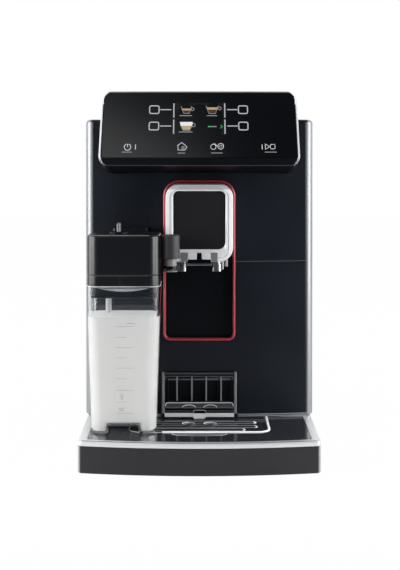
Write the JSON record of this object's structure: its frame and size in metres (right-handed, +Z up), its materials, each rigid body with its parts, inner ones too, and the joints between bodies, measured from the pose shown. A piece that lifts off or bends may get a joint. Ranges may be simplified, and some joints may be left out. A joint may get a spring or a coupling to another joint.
{
  "type": "bean-to-cup coffee machine",
  "caption": "Black countertop bean-to-cup coffee machine with a glass touch panel, red-ringed sliding spout and a clip-on milk carafe.",
  "frame": {"origin": "on the floor, in the middle of the overall plan", "axes": "+Z up, +X to the right of someone facing the machine, the front faces -Y"},
  "size_m": [0.224, 0.435, 0.357],
  "materials": {
    "black_satin": "satin black moulded plastic",
    "black_gloss": "high-gloss black plastic",
    "tinted_glass": "dark tinted front glass",
    "silver": "bright silver paint, smooth",
    "chrome": "bright plating",
    "polished_steel": "mirror-polished stainless sheet",
    "steel": "drawn steel",
    "red": "satin red with a slight metallic look",
    "dark_grey": "fine-grained dark plastic",
    "grey_plastic": "plain moulded plastic",
    "white_plastic": "natural white plastic",
    "clear_plastic": "clear moulded plastic",
    "rubber": "soft matt rubber",
    "circuit_board": "lacquered board"
  },
  "bodies": {
    "machine": {"base_pan": "black_satin", "foot_front_left": "rubber", "foot_front_right": "rubber", "foot_rear_left": "rubber", "foot_rear_right": "rubber", "side_panel_left": "black_satin", "side_panel_right": "black_satin", "rear_panel": "black_satin", "mains_inlet": "dark_grey", "upper_front_fascia": "black_satin", "lower_front_fascia": "black_satin", "red_ring": "red", "niche_plate": "black_satin", "control_housing": "black_gloss", "control_trim": "silver", "control_glass": "tinted_glass", "display_board": "circuit_board", "top_deck": "black_satin", "milk_dock": "black_satin", "inner_frame": "grey_plastic", "tank_dock": "dark_grey", "bean_hopper": "clear_plastic", "grinder_housing": "grey_plastic", "upper_burr": "steel", "grinder_motor": "steel", "preground_chute": "dark_grey", "brew_frame": "dark_grey", "brew_chamber": "grey_plastic", "brew_gearmotor": "dark_grey", "boiler": "steel", "water_pump": "steel", "flow_meter": "white_plastic", "power_board": "circuit_board"},
    "door": {"service_door": "black_satin"},
    "switch": {"power_rocker": "black_gloss"},
    "grind_setting": {"grind_knob": "dark_grey"},
    "coffee_spout": {"spout_bezel": "silver", "spout_face_plate": "dark_grey", "spout_carriage": "black_satin", "spout_nozzle_left": "chrome", "spout_nozzle_right": "chrome"},
    "tray": {"drip_tray": "black_satin", "tray_rim": "silver", "tray_cover": "polished_steel", "grounds_container": "dark_grey", "container_front": "black_gloss"},
    "full_float": {"tray_float": "red"},
    "shelf": {"espresso_shelf": "black_gloss"},
    "tank": {"water_tank": "clear_plastic"},
    "tank_top": {"tank_lid": "black_satin"},
    "hopper_top": {"hopper_lid": "black_satin"},
    "chute_top": {"preground_lid": "black_satin"},
    "burr": {"lower_burr": "steel"},
    "drive_gear": {"brew_drive_gear": "white_plastic"},
    "piston": {"brew_piston": "white_plastic"},
    "carafe": {"carafe_jug": "clear_plastic"},
    "carafe_top": {"carafe_lid": "black_gloss", "suction_tube": "white_plastic", "milk_spout": "black_gloss"},
    "lifter": {"lid_knob": "black_satin"}
  },
  "joints": [
    {"name": "door_swing", "type": "hinge", "parent": "machine", "child": "door", "pos_m": [0.112, 0.0614, 0.159], "axis": [0, 0, 1], "range_deg": [0, 110]},
    {"name": "rocker_tilt", "type": "hinge", "parent": "machine", "child": "switch", "pos_m": [-0.03, 0.2125, 0.06], "axis": [1, 0, 0], "range_deg": [0, 14]},
    {"name": "grind_knob_turn", "type": "hinge", "parent": "machine", "child": "grind_setting", "pos_m": [-0.0175, 0.15, 0.343], "axis": [0, 0, 1], "range_deg": [0, 300]},
    {"name": "spout_slide", "type": "slide", "parent": "machine", "child": "coffee_spout", "axis": [0, 0, -1], "range_m": [0, 0.07]},
    {"name": "tray_slide", "type": "slide", "parent": "machine", "child": "tray", "axis": [0, -1, 0], "range_m": [0, 0.17]},
    {"name": "float_rise", "type": "slide", "parent": "tray", "child": "full_float", "axis": [0, 0, 1], "range_m": [0, 0.006]},
    {"name": "shelf_fold", "type": "hinge", "parent": "tray", "child": "shelf", "pos_m": [0, -0.1083, 0.0435], "axis": [1, 0, 0], "range_deg": [0, 90]},
    {"name": "tank_lift", "type": "slide", "parent": "machine", "child": "tank", "axis": [0, 0, 1], "range_m": [0, 0.27]},
    {"name": "tank_lid_flip", "type": "hinge", "parent": "tank", "child": "tank_top", "pos_m": [-0.064, 0.205, 0.357], "axis": [-1, 0, 0], "range_deg": [0, 95]},
    {"name": "hopper_lid_lift", "type": "slide", "parent": "machine", "child": "hopper_top", "axis": [0, 0, 1], "range_m": [0, 0.06]},
    {"name": "preground_lid_flip", "type": "hinge", "parent": "machine", "child": "chute_top", "pos_m": [0.062, 0.039, 0.3551], "axis": [-1, 0, 0], "range_deg": [0, 100]},
    {"name": "burr_spin", "type": "hinge", "parent": "machine", "child": "burr", "pos_m": [0.0465, 0.1425, 0.1876], "axis": [0, 0, 1], "continuous": true},
    {"name": "brew_gear_turn", "type": "hinge", "parent": "machine", "child": "drive_gear", "pos_m": [0.0427, 0.026, 0.15], "axis": [1, 0, 0], "range_deg": [0, 180]},
    {"name": "piston_stroke", "type": "slide", "parent": "machine", "child": "piston", "axis": [0, 0, -1], "range_m": [0, 0.0402]},
    {"name": "carafe_slide", "type": "slide", "parent": "machine", "child": "carafe", "axis": [0, -1, 0], "range_m": [0, 0.12]},
    {"name": "carafe_lid_lift", "type": "slide", "parent": "carafe", "child": "carafe_top", "axis": [0, 0, 1], "range_m": [0, 0.04]},
    {"name": "lid_knob_turn", "type": "hinge", "parent": "carafe_top", "child": "lifter", "pos_m": [-0.0753, -0.156, 0.2173], "axis": [0, 0, 1], "range_deg": [0, 90]}
  ],
  "couplings": [
    {"joint": "piston_stroke", "follows": "brew_gear_turn", "m_per_rad": 0.012732}
  ]
}
